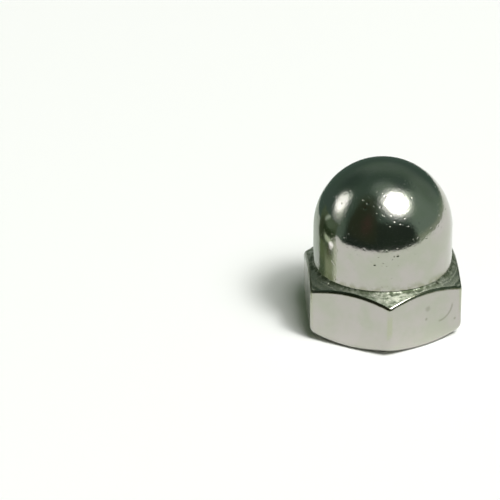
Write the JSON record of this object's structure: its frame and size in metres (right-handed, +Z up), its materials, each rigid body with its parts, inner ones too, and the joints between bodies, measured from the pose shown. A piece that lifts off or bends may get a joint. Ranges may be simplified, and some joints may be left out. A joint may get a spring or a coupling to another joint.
{
  "type": "cap nut",
  "caption": "Hexagon cap nut closed by a smooth domed crown, which screws onto a threaded end and covers it.",
  "frame": {"origin": "centre of the bearing face, which the nut stands on", "axes": "+Z up along the thread axis, through the crown; a hexagon corner on +X and a flat facing -Y"},
  "size_m": [0.0166, 0.0142, 0.0163],
  "materials": {
    "polished_stainless": "polished stainless steel with fine pits and light handling scratches"
  },
  "bodies": {
    "root": {"cap_nut": "polished_stainless"}
  },
  "joints": []
}
